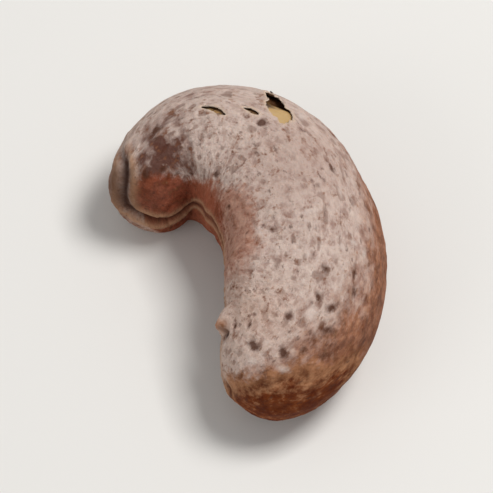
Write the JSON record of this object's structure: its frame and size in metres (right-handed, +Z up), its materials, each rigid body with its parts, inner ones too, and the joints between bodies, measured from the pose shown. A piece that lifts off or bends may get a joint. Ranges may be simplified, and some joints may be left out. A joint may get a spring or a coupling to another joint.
{
  "type": "roasted cashew nut",
  "caption": "Plump C-shaped roasted nut in its thin papery skin, which is torn here and there and bares the golden kernel.",
  "frame": {"origin": "on the surface that the nut lies on, under the middle of its box", "axes": "+Z up, through the flank; +Y along the nut's length, from the round head to the bend; -X the way that the C opens"},
  "size_m": [0.0204, 0.0258, 0.0116],
  "materials": {
    "skin": "matt, dry and papery",
    "kernel": "satin, slightly oily"
  },
  "bodies": {
    "root": {"skin": "skin", "kernel": "kernel"}
  },
  "joints": []
}
